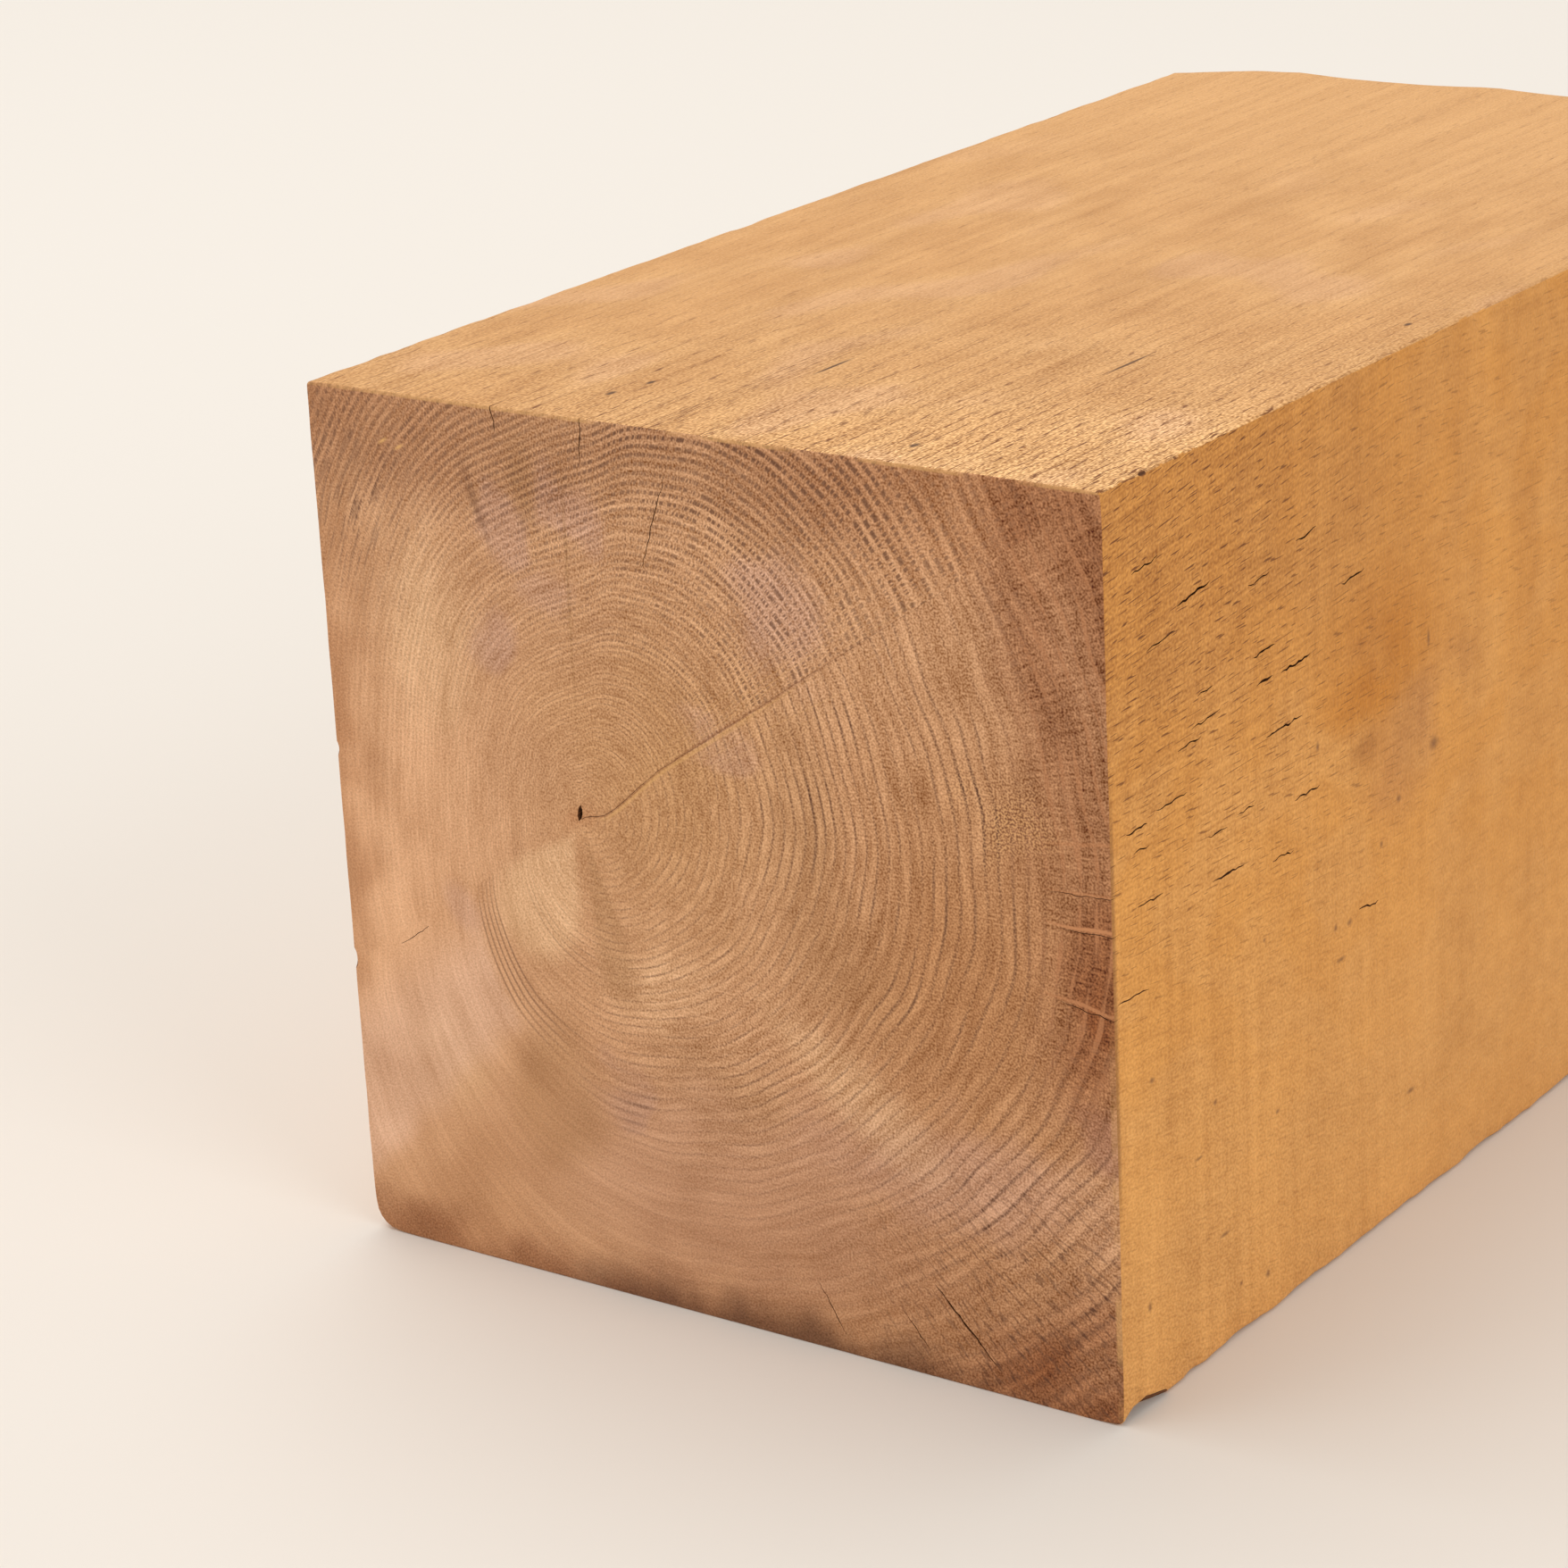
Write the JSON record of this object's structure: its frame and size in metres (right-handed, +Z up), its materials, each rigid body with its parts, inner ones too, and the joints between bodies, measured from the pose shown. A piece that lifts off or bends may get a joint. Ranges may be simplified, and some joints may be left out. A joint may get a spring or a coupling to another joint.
{
  "type": "oak post",
  "caption": "Short solid oak post of square sawn section with boxed heart, drying checks, worn edges, a clean sawn end and a rough sawn end, for a support or spacer block.",
  "frame": {"origin": "middle of the base, the long face that the post lies on", "axes": "+X across the section to the right, +Y along the grain from the clean sawn end to the rough end, +Z up"},
  "size_m": [0.1, 0.191, 0.1],
  "materials": {
    "oak": "raw sawn, unfinished"
  },
  "bodies": {
    "root": {"post": "oak"}
  },
  "joints": []
}
